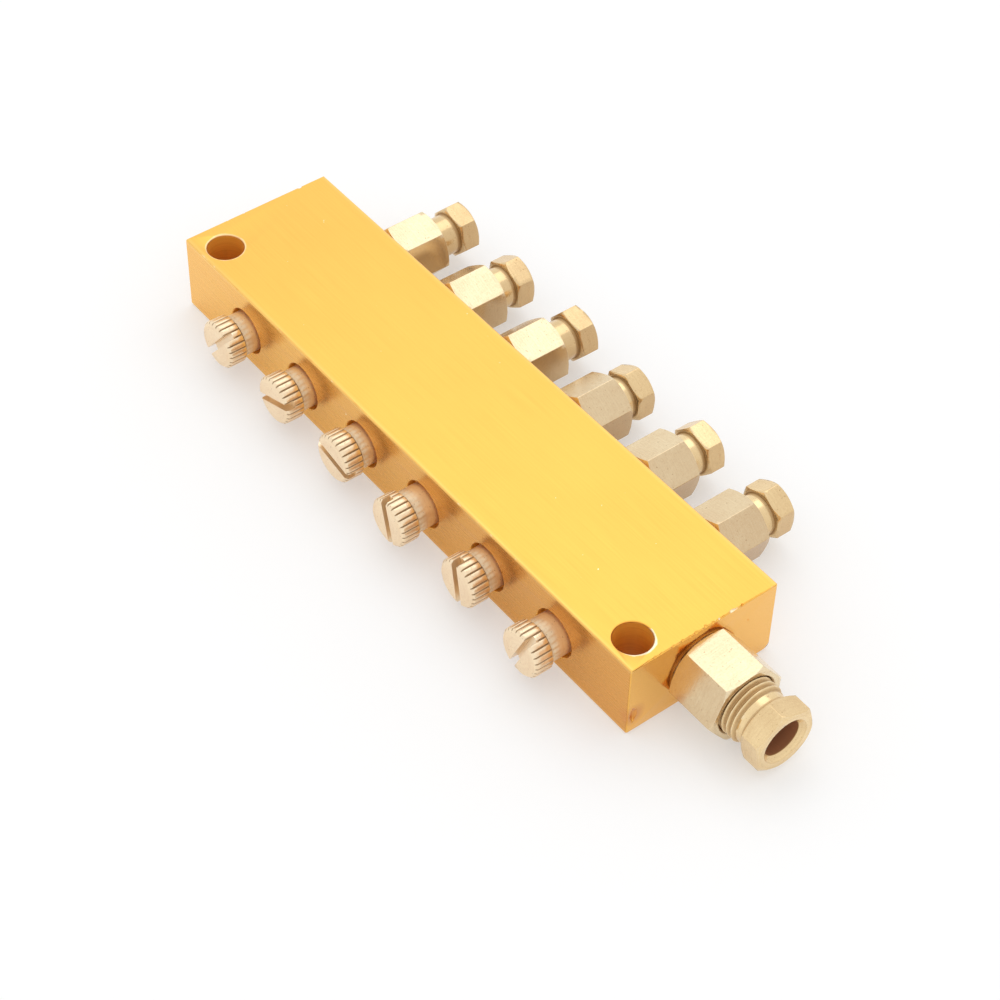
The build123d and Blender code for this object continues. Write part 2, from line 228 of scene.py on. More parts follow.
# bare aluminium in chips and on a hole's edge broken after anodising; on the near hole it is only the
# side that faces the light, as a painted highlight: thin bright silver-cream marks
def bareMaterial():
    material, tree, shader = startMaterial("bare_aluminium_and_rim_highlight")
    place = add(tree, "TexCoord").outputs["Object"]
    shade = blend(tree, cloud(tree, place, 2.5 / mm, 3.0), linear("#FFF8E4"), linear("#F0CC88"))
    feed(tree, shader, {"Base Color": shade, "Metallic": 0.9, "Roughness": 0.36})
    return material


# anodised walls that the drill left half matt: they look brown-gold and lighter low down, ringed by its marks
def drilledMaterial():
    material, tree, shader = startMaterial("drilled_anodised_wall")
    place = add(tree, "TexCoord").outputs["Object"]
    marks = cloud(tree, stretch(tree, place, [0.15 / mm, 0.15 / mm, 3.5 / mm]), 1.0, 3.0, 0.6)
    shade = blend(tree, marks, linear("#FFBE50"), linear("#E0962F"))
    feed(tree, shader, {"Base Color": shade, "Normal": relief(tree, marks, 0.3, 0.02), "Metallic": 0.25,
                        "Roughness": 0.42})
    return material


# brass in its workshop finishes: bar stock is dull from drawing and handling, with a fine mottle and faint
# tool marks across it; turned faces have fine rings; edges are rubbed bright and recesses hold brown oxide;
# painted shade darkens bores, grooves, the parts beside collars and heads, and faces turned to a piece's
# shaded side; scales in waves per mm
brassPatterns = dict(
    agedAndShaded="#A87C4C", bored="#AC7450", rubbed="#FFF4D8",
    toolMarks=[2.2, 1.0, 3.4], mottle=3.2, pits=3.0, clouding=0.22, rubbing=1.4,
    roughness=(-0.04, 0.16), shadeLevel=(-0.2, 0.25), metal=(0.2, 0.82, 0.18), strength=0.5, depth=0.012,
)


def brassMaterial(name, bright, tan, oxideAndShade, roughness, mottle, marks):
    b = brassPatterns
    material, tree, shader = startMaterial(name)
    place = add(tree, "Attribute", attribute_name="place").outputs["Vector"]
    wear, polishAndShade, tone = (add(tree, "Attribute", attribute_name=layer).outputs["Fac"]
                          for layer in ("wear", "polishAndShade", "tone"))
    split = add(tree, "SeparateXYZ", {"Vector": place}).outputs
    radius = hypotenuse(tree, split["X"], split["Y"])

    # tool marks every 0.1 mm, drawn at 0.3 mm so that they show: lines round the bar and rings on its ends
    ring = add(tree, "CombineXYZ", {"X": radius, "Z": split["Z"]}).outputs["Vector"]
    toolMarks = cloud(tree, stretch(tree, ring, b["toolMarks"]), 1.0, 3.0, 0.7)
    fine = cloud(tree, place, b["mottle"], 4.0, 0.62)
    pits = ramp(tree, cloud(tree, place, b["pits"], 1.0), 0.70, 0.76, 0.0, 0.5)

    matt = ramp(tree, polishAndShade, 0.0, 1.0, 1.0, 0.35)
    speckled = ramp(tree, fine, 0.3, 0.72, 0.0, mottle)
    clouded = ramp(tree, cloud(tree, place, b["clouding"]), 0.3, 0.7, 0.0, mottle)
    streaked = ramp(tree, toolMarks, 0.35, 0.7, 0.0, marks)
    dull = calc(tree, "ADD", calc(tree, "ADD", speckled, clouded), streaked, clamp=True)
    dull = calc(tree, "MULTIPLY", dull, matt)
    colour = blend(tree, dull, linear(bright), linear(tan))
    # darker with age by the piece's tone, and with painted shade on the faces turned to its shaded side
    colour = blend(tree, tone, colour, linear(b["agedAndShaded"]))
    colour = blend(tree, pits, colour, linear(oxideAndShade))

    # brown oxide in recesses, painted shade where the polish is below 0, deepest in bores; pale on rubbed
    # edges
    recess = ramp(tree, wear, -0.10, -0.50, 0.0, 0.8)
    bored = ramp(tree, polishAndShade, 0.0, -0.85)
    colour = blend(tree, calc(tree, "MAXIMUM", recess, bored), colour, linear(oxideAndShade))
    colour = blend(tree, ramp(tree, polishAndShade, -0.86, -1.0), colour, linear(b["bored"]))
    streaks = ramp(tree, cloud(tree, place, b["rubbing"], 3.0), 0.4, 0.6, 0.25, 1.0)
    rubbed = calc(tree, "MULTIPLY", ramp(tree, wear, 0.1, 0.35, 0.0, 0.8), streaks)
    colour = blend(tree, rubbed, colour, linear(b["rubbed"]))

    shadeFrom, shadeRoughness = b["shadeLevel"]
    rough = ramp(tree, dull, 0.0, 1.0, *(roughness + change for change in b["roughness"]))
    rough = calc(tree, "MULTIPLY", rough, ramp(tree, polishAndShade, 0.0, 1.0, 1.0, 0.7))
    rough = calc(tree, "ADD", rough, ramp(tree, polishAndShade, 0.0, shadeFrom, 0.0, shadeRoughness))
    height = calc(tree, "ADD", calc(tree, "MULTIPLY", toolMarks, matt), fine)
    height = calc(tree, "SUBTRACT", height, pits)
    boreMetal, plainMetal, polishedMore = b["metal"]
    metal = calc(tree, "ADD", ramp(tree, polishAndShade, -1.0, 0.0, boreMetal, plainMetal),
                 ramp(tree, polishAndShade, 0.0, 1.0, 0.0, polishedMore))
    feed(tree, shader, {"Base Color": colour, "Roughness": rough, "Metallic": metal,
                        "Normal": relief(tree, height, b["strength"], b["depth"])})
    return material


# nitrile ring: near black, half matt, with the faint grain of its mould
def rubberMaterial():
    material, tree, shader = startMaterial("moulded_nitrile_rubber")
    grain = cloud(tree, add(tree, "TexCoord").outputs["Object"], 4.0 / mm, 3.0)
    shade = blend(tree, grain, linear("#161616"), linear("#2A2826"))
    feed(tree, shader, {"Base Color": shade, "Normal": relief(tree, grain, 0.3, 0.01), "Roughness": 0.55})
    return material


# each brass has its bright metal, its dull tan and its oxide, also the colour of its painted shade, then
# its roughness, mottle and tool marks
anodised = anodisedMaterial()
bareMetalAndRimHighlight = bareMaterial()
drilledWall = drilledMaterial()
fittingBrass = brassMaterial("drawn_hexagon_bar_brass", "#F8E8C2", "#CCA67B", "#90602E", 0.20, 0.20, 0.22)
nutBrass = brassMaterial("turned_nut_brass", "#F9DFAC", "#C8A274", "#94682A", 0.22, 0.22, 0.22)
screwBrass = brassMaterial("knurled_screw_brass", "#FFEAC6", "#D6AA80", "#7E5A2C", 0.30, 0.18, 0.2)
plugBrass = brassMaterial("turned_plug_brass", "#F2E2A0", "#D2B878", "#7A5A28", 0.28, 0.25, 0.3)
washerBrass = brassMaterial("stamped_washer_brass", "#E8B888", "#B07848", "#5E3418", 0.30, 0.35, 0.2)
rubber = rubberMaterial()
print("materials made")


# angle and radius of points round a hexagon with rounded corners, whose first corner is at the given angle
def hexagonOutline(flats, cornerRadius, turn, perCorner=5, perFlat=7):
    centre = (flats / 2 - cornerRadius) / math.cos(math.pi / 6)
    points = []
    for side in range(6):
        arcs = []
        for corner in (side * math.pi / 3, (side + 1) * math.pi / 3):
            bend = [corner + (step / (perCorner - 1) - 0.5) * math.pi / 3 for step in range(perCorner)]
            arcs.append([Vector((centre * math.cos(corner) + cornerRadius * math.cos(b),
                                 centre * math.sin(corner) + cornerRadius * math.sin(b))) for b in bend])
        points += arcs[0]
        points += [arcs[0][-1].lerp(arcs[1][0], step / perFlat) for step in range(1, perFlat)]
    angles = np.unwrap([math.atan2(p.y, p.x) for p in points])
    return angles + math.radians(turn), np.array([p.length for p in points])


def store(mesh, name, values):
    vector = name == "place"
    layer = mesh.attributes.new(name, "FLOAT_VECTOR" if vector else "FLOAT", "POINT")
    layer.data.foreach_set("vector" if vector else "value", np.array(values, dtype=np.float32).ravel())


# a piece of rings about its own axis; each ring is (radius, distance out), with numbers or arrays round the
# piece, and may add its polish: 1 for a polished stretch, below 0 painted shade, down to -1 for a dark
# bore. A radius of 0 closes an end, otherwise the rings close on themselves
def ringPiece(name, face, outward, angles, rings):
    side = upwards.cross(outward)
    count = len(angles)
    rings = [(ring + (0.0,))[:3] for ring in rings]
    pointed = [np.isscalar(radius) and radius == 0 for radius, _, _ in rings]
    local, shineAndShade, starts = [], [], []
    for (radius, along, polishAndShade), single in zip(rings, pointed):
        starts.append(len(local))
        if single:
            local.append((0.0, 0.0, float(along)))
            shineAndShade.append(polishAndShade)
            continue
        radii, places = np.broadcast_to(radius, count), np.broadcast_to(along, count)
        local += list(zip(radii * np.cos(angles), radii * np.sin(angles), places))
        shineAndShade += list(np.broadcast_to(polishAndShade, count))
    faces = []
    for index in range(len(rings) - (1 if pointed[0] else 0)):
        following = (index + 1) % len(rings)
        here, there = starts[index], starts[following]
        for a in range(count):
            b = (a + 1) % count
            if pointed[index]:
                faces.append((here, there + b, there + a))
            elif pointed[following]:
                faces.append((here + a, here + b, there))
            else:
                faces.append((here + a, here + b, there + b, there + a))
    points = [face + (side * x + upwards * y + outward * z) * mm for x, y, z in local]
    mesh = bpy.data.meshes.new(name)
    mesh.from_pydata(points, [], faces)
    store(mesh, "place", local)
    store(mesh, "polishAndShade", shineAndShade)
    piece = bpy.data.objects.new(name, mesh)
    bpy.context.collection.objects.link(piece)
    return piece


def applyModifiers(piece):
    bpy.context.view_layer.update()
    done = bpy.data.meshes.new_from_object(piece.evaluated_get(bpy.context.evaluated_depsgraph_get()))
    piece.modifiers.clear()
    piece.data = done


# cuts a slot and the like out of a piece for good
def cutOut(piece, cutter):
    bite = piece.modifiers.new("cut", "BOOLEAN")
    bite.operation, bite.solver, bite.object = "DIFFERENCE", "EXACT", cutter
    applyModifiers(piece)
    bpy.data.objects.remove(cutter)


# how far from an edge its rounding starts, in mm
soft, gentle, snug, crisp = 0.05, 0.04, 0.03, 0.02

# the angle from which an edge stays sharp, the distance in mm within which points are welded, how far outer
# edges stand out before they are nicked, and how squarely a face has to turn to the shaded side to get
# painted shade
edgeLook = dict(sharp=50, weld=0.002, blockWeld=0.001, outness=0.12, nickScale=900, nickFloor=0.1, nickGain=2,
                shadedFacing=0.2)


# smooth shading in which the large faces keep flat and only the small bevels between them look round
def steadyNormals(piece):
    piece.data.shade_smooth()
    piece.data.set_sharp_from_angle(angle=math.radians(edgeLook["sharp"]))
    weigh = piece.modifiers.new("weigh", "WEIGHTED_NORMAL")
    weigh.keep_sharp = True
    applyModifiers(piece)


# nicks the outer edges, then stores how much each point stands out (above 0) or lies in a recess (below 0)
# and its tone: how dull with age the piece is all over, plus painted shade on the faces turned to its shaded
# side
def finishPiece(piece, material, body, nodes, nick=0.0, seed=0.0, tone=0.0, dull=((0, 0, 1), 0.0)):
    e = edgeLook
    mesh = piece.data
    work = bmesh.new()
    work.from_mesh(mesh)
    bmesh.ops.remove_doubles(work, verts=work.verts, dist=e["weld"] * mm)
    bmesh.ops.recalc_face_normals(work, faces=work.faces)
    work.normal_update()
    side, amount, start = Vector(dull[0]).normalized(), dull[1], e["shadedFacing"]
    tones = [tone + amount * max(0.0, vert.normal.dot(side) - start) / (1 - start) for vert in work.verts]
    wear = []
    for vert in work.verts:
        total = sum(vert.normal.dot((edge.other_vert(vert).co - vert.co).normalized())
                    for edge in vert.link_edges)
        wear.append(-total / max(len(vert.link_edges), 1))
    for vert, outness in zip(work.verts, wear):
        if nick and outness > e["outness"]:
            wave = noise.noise(vert.co * e["nickScale"] + Vector((seed, seed, 0)))
            vert.co -= vert.normal * nick * mm * max(0.0, wave - e["nickFloor"]) * e["nickGain"]
    work.to_mesh(mesh)
    work.free()
    store(mesh, "wear", wear)
    store(mesh, "tone", tones)
    mesh.materials.clear()
    mesh.materials.append(material)
    steadyNormals(piece)
    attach(piece, body)
    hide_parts(*nodes)
    return piece


# where a node stands along its axis, in mm from the block's face: its inner and outer ends
def reach(node, face, outward):
    ends = [(Vector(corner) - face).dot(outward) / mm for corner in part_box(node)]
    return min(ends), max(ends)


def axisX(node):
    low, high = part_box(node)
    return (low[0] + high[0]) / 2


# where a node's axis meets the block's face
def portFace(node, y):
    return Vector((axisX(node), y, portHeight))


# the 30 degree chamfer at both ends of a hexagon, and the rings between them
hexChamfer = dict(length=0.4, slope=math.tan(math.radians(30)), lip=0.06, alongFlats=8)


def hexagonRings(outline, outer, inner):
    slope, lip = hexChamfer["slope"], hexChamfer["lip"]
    ring = outline.max() - hexChamfer["length"] / slope
    drop = np.maximum(0, outline - ring) * slope
    flatRing = np.minimum(ring, outline - soft)
    rings = [(flatRing - lip, outer), (flatRing, outer - crisp), (outline - crisp, outer - drop)]
    for share in np.linspace(0, 1, hexChamfer["alongFlats"]):
        rings.append((outline, outer - drop - soft - share * (outer - inner - 2 * drop - 2 * soft)))
    rings += [(outline - crisp, inner + drop), (flatRing, inner + crisp), (flatRing - lip, inner)]
    return rings


# rings in each turn of a thread, how much of its crest and root is flat, how it ends, and the painted shade
# in its grooves
threadLook = dict(perTurn=12, flat=0.12, fade=1.2, bevel=0.4, shadeLevel=-0.5)


# screw thread from outer to inner, right-handed, fading out where it meets a neck and at the bevelled end;
# its grooves get painted shade
def threadRings(angles, crest, depth, pitch, outer, inner, neck):
    t = threadLook
    rings = []
    count = int((outer - inner) / pitch * t["perTurn"])
    for step in range(count + 1):
        along = outer - (outer - inner) * step / count
        phase = along / pitch - angles / (2 * math.pi)
        wave = 1 - np.abs(2 * (phase - np.floor(phase)) - 1)
        profile = np.clip((wave - t["flat"]) / (1 - 2 * t["flat"]), 0, 1)
        limit = min(crest, neck + (outer - along) * t["fade"], crest - t["bevel"] + (along - inner))
        radius = np.maximum(np.minimum(limit, crest - depth * (1 - profile)), min(limit, neck - soft))
        rings.append((radius, along, t["shadeLevel"] * (1 - profile)))
    return rings


# below 0 the polish paints shade: on the collar and its corners between the hexagon and the block, and in the
# cavity, its mouth and the bore; dull gives the side whose faces get painted shade, and how much
connectorLook = dict(
    cornerRadius=0.14, nick=0.06, rim=0.3, cavityDepth=7.4, cone=0.8, stop=1.5, stub=4.0, stubBevel=0.4,
    cleanDepth=1.5, polishAndShade=dict(corner=-0.35, collar=-0.3, bore=-1.0, cavity=-0.9, mouth=-0.25),
    outlet=dict(flats=10.0, collar=4.75, collarLength=0.8, hexLength=8.0, cavity=4.05, tube=2.15, flow=1.3,
                dull=((1, 0, -0.1), 0.5)),
    inlet=dict(flats=12.0, collar=5.7, collarLength=0.4, hexLength=9.4, cavity=5.05, tube=3.15, flow=2.0,
               dull=((0, -1, 0), 0.35)),
)


def makeConnector(node, face, outward, turn, look, seed, tone):
    c = connectorLook
    shineAndShade, rim, cone, stub = c["polishAndShade"], c["rim"], c["cone"], c["stub"]
    inner, front = reach(node, face, outward)
    start = front - look["hexLength"]
    seat = start - look["collarLength"]
    bottom = front - c["cavityDepth"]
    coneEnd = bottom - cone
    stopEnd = coneEnd - c["stop"]
    cavity, tube, flow, collar = look["cavity"], look["tube"], look["flow"], look["collar"]
    angles, outline = hexagonOutline(look["flats"], c["cornerRadius"], turn)
    rings = [(cavity + rim, front - crisp / 2), (cavity + rim + soft, front)]
    rings += hexagonRings(outline, front, start)
    rings += [(collar + soft, start, shineAndShade["corner"]), (collar, start - gentle, shineAndShade["collar"]),
              (collar, seat + soft, shineAndShade["collar"]), (collar - soft, seat, shineAndShade["corner"]),
              (stub + crisp, seat), (stub, seat - soft), (stub, inner + c["stubBevel"]),
              (stub - c["stubBevel"], inner)]
    bore = [(flow, inner), (flow, stopEnd), (tube, stopEnd), (tube, coneEnd), (tube + cone, bottom),
            (cavity, bottom)]
    rings += [(radius, along, shineAndShade["bore"]) for radius, along in bore]
    rings += [(cavity, front - c["cleanDepth"], shineAndShade["cavity"]),
              (cavity, front - rim - snug, shineAndShade["mouth"])]
    piece = ringPiece(node + "_turned", face, outward, angles, rings)
    return finishPiece(piece, fittingBrass, "manifold", [node], c["nick"], seed, tone,
                       look["dull"])


# below 0 the polish paints shade: where the neck meets the hexagon and along the neck beside it, and in the
# bore and its throat; dull gives the side whose faces get painted shade, and how much
nutLook = dict(
    cornerRadius=0.12, nick=0.05, pitch=1.0, threadDepth=0.55, cone=0.8, lip=(0.04, 0.06), fillet=0.08,
    shadedNeck=0.5, brightNeck=0.9, throat=0.1,
    polishAndShade=dict(corner=-0.7, fillet=-0.6, shadedNeck=-0.25, brightNeck=0.5, neckEnd=0.6, bore=-1.0,
                throat=-0.9),
    outlet=dict(flats=8.0, hexLength=3.5, neck=3.45, neckLength=3.7, crest=4.0, tube=2.15, funnel=3.0,
                funnelDepth=1.2, dull=((1, 0, -0.1), 0.35)),
    inlet=dict(flats=10.0, hexLength=3.85, neck=4.5, neckLength=1.7, crest=5.0, tube=3.15, funnel=4.0,
               funnelDepth=0.9, dull=((0, 0.9, 0.45), 0.15)),
)


def makeNut(node, face, outward, turn, look, seed, tone):
    n = nutLook
    shineAndShade, fillet, cone, throat = n["polishAndShade"], n["fillet"], n["cone"], n["throat"]
    inner, end = reach(node, face, outward)
    back = end - look["hexLength"]
    tube, neck, funnel = look["tube"], look["neck"], look["funnel"]
    neckEnd, funnelEnd = back - look["neckLength"], end - look["funnelDepth"]
    angles, outline = hexagonOutline(look["flats"], n["cornerRadius"], turn)
    rings = [(funnel - n["lip"][0], end - n["lip"][1]), (funnel + soft, end)]
    rings += hexagonRings(outline, end, back)
    rings += [(neck + fillet, back, shineAndShade["corner"]), (neck, back - fillet, shineAndShade["fillet"]),
              (neck, back - n["shadedNeck"], shineAndShade["shadedNeck"]),
              (neck, back - n["brightNeck"], shineAndShade["brightNeck"]), (neck, neckEnd + soft, shineAndShade["neckEnd"])]
    rings += threadRings(angles, look["crest"], n["threadDepth"], n["pitch"], neckEnd, inner, neck)
    rings += [(tube + cone, inner, shineAndShade["bore"]), (tube, inner + cone, shineAndShade["bore"]),
              (tube, funnelEnd - throat, shineAndShade["bore"]), (tube + crisp, funnelEnd, shineAndShade["throat"]),
              (tube + throat, funnelEnd + throat)]
    piece = ringPiece(node + "_threaded", face, outward, angles, rings)
    return finishPiece(piece, nutBrass, node, [node], n["nick"], seed, tone, look["dull"])


# how each outlet stands: angles of its hexagon corners and screw slot, anticlockwise from level as seen from
# outside, and how dull its fittings have become
outletStance = [
    dict(connector=10.6, nut=12.9, slot=51, tone=0.0, nutTone=0.22),
    dict(connector=22.6, nut=27.6, slot=20, tone=0.0, nutTone=0.12),
    dict(connector=17.4, nut=10.1, slot=168, tone=0.0, nutTone=0.22),
    dict(connector=33.9, nut=30.0, slot=104, tone=0.1, nutTone=0.05),
    dict(connector=43.4, nut=15.1, slot=100, tone=0.05, nutTone=0.0),
    dict(connector=45.8, nut=31.7, slot=66, tone=0.12, nutTone=0.0),
]
inletStance = dict(connector=6.7, nut=39.3, tone=0.0)
nickSeeds = dict(inletConnector=3.1, inletNut=7.7, connector=1.7, nut=2.3, screw=3.3)

toInlet, toOutlet, toScrew, toPlug = (Vector(way) for way in ((1, 0, 0), (0, 1, 0), (0, -1, 0), (-1, 0, 0)))
inletFace = Vector((blockHigh.x, 0, portHeight))
makeConnector("inlet_connector", inletFace, toInlet, inletStance["connector"], connectorLook["inlet"],
              nickSeeds["inletConnector"], inletStance["tone"])
makeNut("inlet_nut", inletFace, toInlet, inletStance["nut"], nutLook["inlet"], nickSeeds["inletNut"],
        inletStance["tone"])
for number, stance in zip(outlets, outletStance):
    node = f"outlet_connector_{number}"
    face = portFace(node, blockHigh.y)
    makeConnector(node, face, toOutlet, stance["connector"], connectorLook["outlet"],
                  number * nickSeeds["connector"], stance["tone"])
    makeNut(f"outlet_nut_{number}", face, toOutlet, stance["nut"], nutLook["outlet"],
            number * nickSeeds["nut"], stance["nutTone"])
print("connectors and nuts made")

washerLook = dict(outer=4.8, hole=4.1, thickness=1.0, ripple=0.015, ringPoints=96,
                  edge=(0.12, 0.08, 0.3, 0.015))


# a stamped ring with three faint swells round its edge
def makeWasher(number):
    w = washerLook
    node = f"outlet_washer_{number}"
    angles = np.linspace(0, 2 * math.pi, w["ringPoints"], endpoint=False)
    edge = w["outer"] - w["ripple"] + w["ripple"] * np.sin(3 * angles + number)
    thick, (inset, bevel, bend, worn) = w["thickness"], w["edge"]
    rings = [(w["hole"], 0.0), (w["outer"] - inset, 0.0), (edge - worn, bevel), (edge, bend),
             (edge, thick - bend), (edge - worn, thick - bevel), (w["outer"] - inset, thick),
             (w["hole"], thick)]
    piece = ringPiece(node + "_stamped", portFace(node, blockHigh.y), toOutlet, angles, rings)
    return finishPiece(piece, washerBrass, "manifold", [node])


plugLook = dict(
    radius=4.0, bevel=0.4, socket=5.0, socketDepth=4.0, socketRing=2.0, socketBevel=0.12, floorRing=0.6,
    cornerRadius=0.06, threadDepth=0.35, pitch=1.0, threadStart=0.1, threadEnd=0.3, root=0.3,
)


def makePlug():
    p = plugLook
    face = Vector((blockLow.x, 0, portHeight))
    inner, outer = reach("end_plug", face, toPlug)
    angles, socket = hexagonOutline(p["socket"], p["cornerRadius"], 0)
    floor = outer - p["socketDepth"]
    bevelStart = p["radius"] - p["bevel"]
    mouth = np.maximum(socket, p["socket"] / 2 + p["socketBevel"])
    rings = [(0, floor), (socket * p["floorRing"], floor), (socket - snug, floor), (socket, floor + snug),
             (socket, outer - p["socketRing"]), (socket, outer - p["socketBevel"]), (mouth, outer),
             (bevelStart - gentle, outer), (bevelStart + crisp, outer - crisp),
             (p["radius"], outer - p["bevel"])]
    threadStart, threadEnd = outer - p["bevel"] - p["threadStart"], inner + p["threadEnd"]
    rings += threadRings(angles, p["radius"], p["threadDepth"], p["pitch"], threadStart, threadEnd,
                         p["radius"] - p["root"])
    rings += [(bevelStart, inner), (0, inner)]
    plug = ringPiece("end_plug_turned", face, toPlug, angles, rings)
    return finishPiece(plug, plugBrass, "manifold", ["end_plug"])


for number in outlets:
    makeWasher(number)
makePlug()
print("washers and plug made")

# below 0 the polish paints shade: at the back of the head, in the relief under it and along the shank, most
# near the head; the knurl's grooves get it too
screwLook = dict(
    head=4.1, thickness=3.2, bevel=0.4, faceRings=(1.2, 2.4), backBevel=(0.12, 0.08),
    teeth=24, groove=0.25, grooveShape=[(0.0, 1.0), (0.9, 0.9), (1.6, 0.4), (2.0, 0.1), (2.5, 0.0)],
    grooveRings=(1.2, 2.2), slotWidth=1.2, slotDepth=1.6, slotCutter=(12.0, 3.0),
    relief=3.3, reliefWidth=0.3, shank=3.5, shankLength=8.2, brightShank=2.0,
    ringFromEnd=1.2, ringGroove=0.63, ringFloor=2.33, stem=3.0, stemLength=13.75, stemBevel=0.4,
    needle=1.5, needleTip=0.4, needleCone=1.905, nick=0.03,
    polishAndShade=dict(groove=-0.7, back=-0.3, corner=-0.6, relief=-0.7, step=-0.2, nearHead=-0.17, shank=-0.07),
)


# radius round the knurled head: broad flat teeth between narrow round-bottomed grooves
def knurlOutline():
    s = screwLook
    shape = s["grooveShape"]
    pitch = 360 / s["teeth"]
    angles, radii = [], []
    for tooth in range(s["teeth"]):
        steps = [(-a, depth) for a, depth in reversed(shape[1:])] + shape + [(pitch / 2, 0.0)]
        for offset, depth in steps:
            angles.append(math.radians(tooth * pitch + offset))
            radii.append(s["head"] - s["groove"] * depth)
    return np.array(angles), np.array(radii)


def makeScrew(number, turn):
    s = screwLook
    shineAndShade = s["polishAndShade"]
    node = f"adjusting_screw_{number}"
    face = portFace(node, blockLow.y)
    tip, outer = reach(node, face, toScrew)
    back = outer - s["thickness"]
    angles, knurl = knurlOutline()
    # painted shade in the knurl's grooves, darker the deeper the groove
    shadeLevel = shineAndShade["groove"] * (s["head"] - knurl) / s["groove"]
    bevelRing = s["head"] - s["bevel"]
    shoulder = outer - (knurl - bevelRing)
    backStart, backInset = s["backBevel"]
    reliefEnd = back - s["reliefWidth"]
    shankEnd, stemEnd = back - s["shankLength"], back - s["stemLength"]
    ringAt, half = shankEnd + s["ringFromEnd"], s["ringGroove"]
    rings = [(0, outer)] + [(radius, outer) for radius in s["faceRings"]]
    rings += [(bevelRing - 2 * soft, outer), (bevelRing, outer - crisp)]
    rings += [(knurl - crisp, shoulder, shadeLevel), (knurl, shoulder - 2 * snug, shadeLevel)]
    rings += [(knurl, outer - depth, shadeLevel) for depth in s["grooveRings"]]
    rings += [(knurl, back + backStart, shadeLevel), (knurl - backInset, back, shineAndShade["back"]),
              (s["relief"] + soft, back, shineAndShade["corner"]), (s["relief"], back - snug, shineAndShade["relief"]),
              (s["relief"], reliefEnd + snug, shineAndShade["relief"]), (s["shank"] - soft, reliefEnd, shineAndShade["step"]),
              (s["shank"], reliefEnd - soft, shineAndShade["nearHead"]),
              (s["shank"], back - s["brightShank"], shineAndShade["shank"])]
    rings += [(s["shank"], ringAt + half), (s["ringFloor"], ringAt + half), (s["ringFloor"], ringAt - half),
              (s["shank"], ringAt - half), (s["shank"], shankEnd), (s["stem"], shankEnd),
              (s["stem"], stemEnd + s["stemBevel"]), (s["stem"] - s["stemBevel"], stemEnd),
              (s["needle"], stemEnd), (s["needle"], tip + s["needleCone"]), (s["needleTip"], tip), (0, tip)]
    piece = ringPiece(node + "_knurled", face, toScrew, angles, rings)

    # the slot across the head
    length, depth = s["slotCutter"]
    wide = upwards.cross(toScrew) * math.cos(math.radians(turn)) + upwards * math.sin(math.radians(turn))
    axes = [wide * length, toScrew.cross(wide) * s["slotWidth"], toScrew * depth]
    spot = face + toScrew * (outer - s["slotDepth"] + depth / 2) * mm
    bpy.ops.mesh.primitive_cube_add(size=mm)
    cutter = bpy.context.object
    cutter.matrix_world = Matrix.Translation(spot) @ Matrix(axes).transposed().to_4x4()
    cutOut(piece, cutter)
    return finishPiece(piece, screwBrass, node, [node], s["nick"], number * nickSeeds["screw"])


for number, stance in zip(outlets, outletStance):
    makeScrew(number, stance["slot"])
print("adjusting screws made")

# marks of use on the block, each its place and its half sizes along x, y and z, in mm: two chips show bare
# metal, a dent, a pit and the notches are as gold as the rest, and fine bites run along the inlet end's top
blockMarks = dict(
    chips=[((57.0, 5.1, 14.0), (0.36, 0.6, 0.28)), ((57.0, 2.6, 14.0), (0.22, 0.2, 0.2))],
    dents=[((57.15, -12.65, 3.6), (0.5, 0.65, 1.7)), ((57.05, 8.45, 9.7), (0.20, 0.10, 0.22)),
           ((57.0, 0.15, 14.0), (0.42, 0.36, 0.32)), ((57.0, -4.2, 14.0), (0.32, 0.3, 0.26)),
           ((57.0, -5.9, 14.0), (0.3, 0.4, 0.26)), ((57.0, -8.1, 14.0), (0.3, 0.34, 0.26)),
           ((-57.0, 8.8, 14.0), (0.42, 0.60, 0.42)), ((-57.0, -2.3, 14.0), (0.28, 0.45, 0.26)),
           ((-57.0, -5.5, 14.0), (0.3, 0.4, 0.28))],
    bites=dict(seed=11, edge=(57.0, 14.0), start=-13.0, end=8.0, size=(0.22, 0.36), stretch=(0.8, 1.6),
               apart=1.3, gap=(0.02, 0.6)),
    lumps=dict(height=0.3, scale=1.6, step=5.1),
)


# seeded fine bites along one edge, wherever no larger mark is
def fineBites():
    b = blockMarks["bites"]
    x, z = b["edge"]
    chance = np.random.default_rng(b["seed"])
    larger = blockMarks["chips"] + blockMarks["dents"]
    taken = [(place[1], size[1]) for place, size in larger if place[0] > 0]
    spot, made = b["start"], []
    while spot < b["end"]:
        size = chance.uniform(*b["size"])
        length = size * chance.uniform(*b["stretch"])
        spot += b["apart"] * length
        if all(abs(spot - place) > b["apart"] * (length + half) for place, half in taken):
            made.append(((x, spot, z), (size, length, size)))
        spot += b["apart"] * length + chance.uniform(*b["gap"])
    return made


